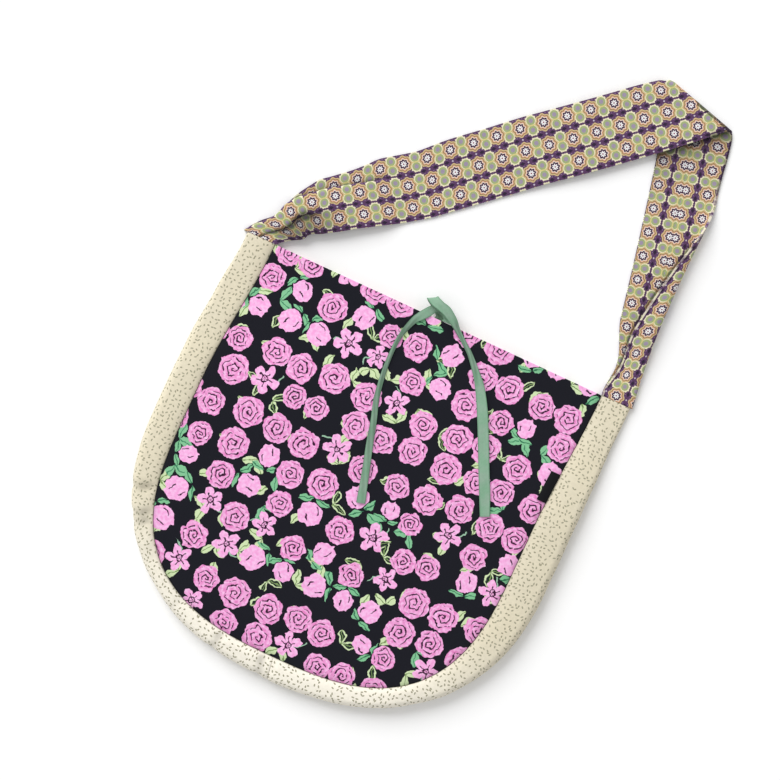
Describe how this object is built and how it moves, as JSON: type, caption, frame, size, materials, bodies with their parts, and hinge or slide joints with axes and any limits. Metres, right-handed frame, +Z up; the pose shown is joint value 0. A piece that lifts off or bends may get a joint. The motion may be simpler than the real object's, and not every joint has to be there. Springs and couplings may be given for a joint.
{
  "type": "cloth shoulder bag",
  "caption": "Flat round-bottomed cloth shoulder bag lying on its back, with a gusset band, a folded cloth strap and tape ties at the open mouth.",
  "frame": {"origin": "middle of the back panel's outer face, on the surface the bag lies on, halfway between its mouth and its bottom", "axes": "+X along the mouth, +Y from the bag's bottom towards its mouth and strap, +Z up from the surface it lies on"},
  "size_m": [0.4367, 0.7183, 0.0237],
  "materials": {
    "rose_print": "plain-weave cotton with a printed pattern of pink roses on near-black",
    "speckled_cotton": "cream plain-weave cotton with small scattered olive dashes",
    "plain_lining": "plain-weave cotton lining",
    "medallion_cloth": "purple woven cotton with rows of small coloured medallions",
    "green_tape": "matt woven tape",
    "black_tape": "satin woven tape, bare"
  },
  "bodies": {
    "root": {"front_panel": "rose_print", "back_panel": "rose_print", "side_band_left": "speckled_cotton", "side_band_right": "speckled_cotton", "lining_front": "plain_lining", "lining_back": "plain_lining", "lining_band": "plain_lining", "shoulder_strap": "medallion_cloth", "tie_front": "green_tape", "tie_back": "green_tape", "seam_tab": "black_tape"}
  },
  "joints": []
}
